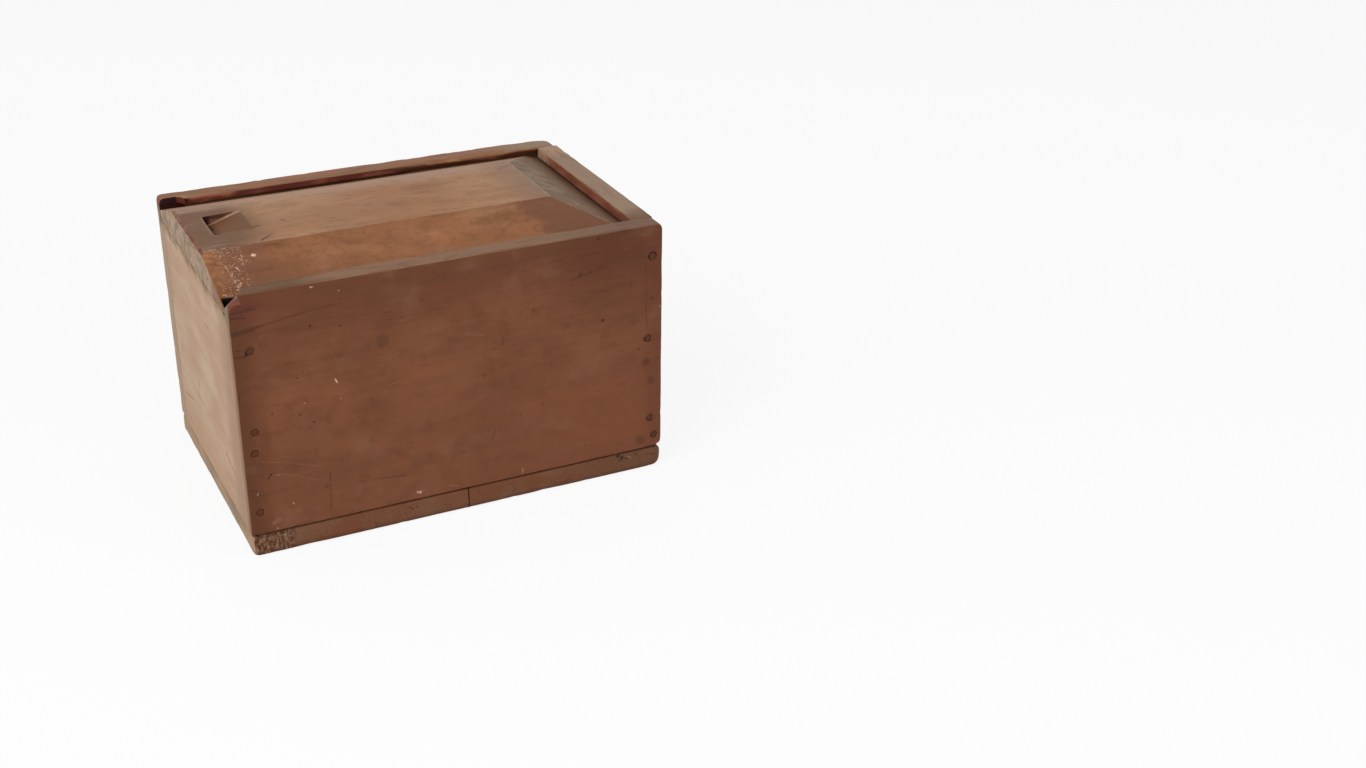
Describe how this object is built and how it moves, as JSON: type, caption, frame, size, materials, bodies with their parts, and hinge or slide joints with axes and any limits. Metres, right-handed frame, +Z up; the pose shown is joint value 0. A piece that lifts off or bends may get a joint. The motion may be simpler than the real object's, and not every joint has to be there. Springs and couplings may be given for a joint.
{
  "type": "sliding lid wooden box",
  "caption": "Nailed wooden box with one low end, over which a raised-panel lid with a chiselled thumb notch slides out of grooves in the sides.",
  "frame": {"origin": "middle of the underside, on the surface that the box stands on", "axes": "+X along the box from its low end to its high end, so the lid slides out along -X; +Y from the front to the rear; +Z up"},
  "size_m": [0.36, 0.2426, 0.2338],
  "materials": {
    "front_stain": "worn matt brown stain",
    "rear_stain": "worn matt brown stain",
    "far_stain": "worn matt brown stain",
    "bare_wood": "bare wood, never stained",
    "rubbed_wood": "stain rubbed nearly away",
    "base_wood": "worn matt brown stain",
    "rusted_iron": "rusted"
  },
  "bodies": {
    "box": {"front_side": "front_stain", "rear_side": "rear_stain", "near_end": "bare_wood", "far_end": "far_stain", "base_board_near": "base_wood", "base_board_far": "base_wood", "nail_front_near_1": "rusted_iron", "nail_front_near_2": "rusted_iron", "nail_front_near_3": "rusted_iron", "nail_front_near_4": "rusted_iron", "nail_front_far_1": "rusted_iron", "nail_front_far_2": "rusted_iron", "nail_front_far_3": "rusted_iron", "nail_front_far_4": "rusted_iron", "nail_rear_near_1": "rusted_iron", "nail_rear_near_2": "rusted_iron", "nail_rear_near_3": "rusted_iron", "nail_rear_near_4": "rusted_iron", "nail_rear_far_1": "rusted_iron", "nail_rear_far_2": "rusted_iron", "nail_rear_far_3": "rusted_iron", "nail_rear_far_4": "rusted_iron", "nail_base_front_1": "rusted_iron", "nail_base_front_2": "rusted_iron", "nail_base_front_3": "rusted_iron", "nail_base_front_4": "rusted_iron", "nail_base_front_5": "rusted_iron", "nail_base_front_6": "rusted_iron", "nail_base_rear_1": "rusted_iron", "nail_base_rear_2": "rusted_iron", "nail_base_rear_3": "rusted_iron", "nail_base_rear_4": "rusted_iron", "nail_base_rear_5": "rusted_iron", "nail_base_rear_6": "rusted_iron", "nail_base_near_1": "rusted_iron", "nail_base_near_2": "rusted_iron", "nail_base_near_3": "rusted_iron", "nail_base_far_1": "rusted_iron", "nail_base_far_2": "rusted_iron", "nail_base_far_3": "rusted_iron"},
    "lid": {"sliding_lid": "rubbed_wood"}
  },
  "joints": [
    {"name": "lid_slide", "type": "slide", "parent": "box", "child": "lid", "axis": [-1, 0, 0], "range_m": [0, 0.35]}
  ]
}
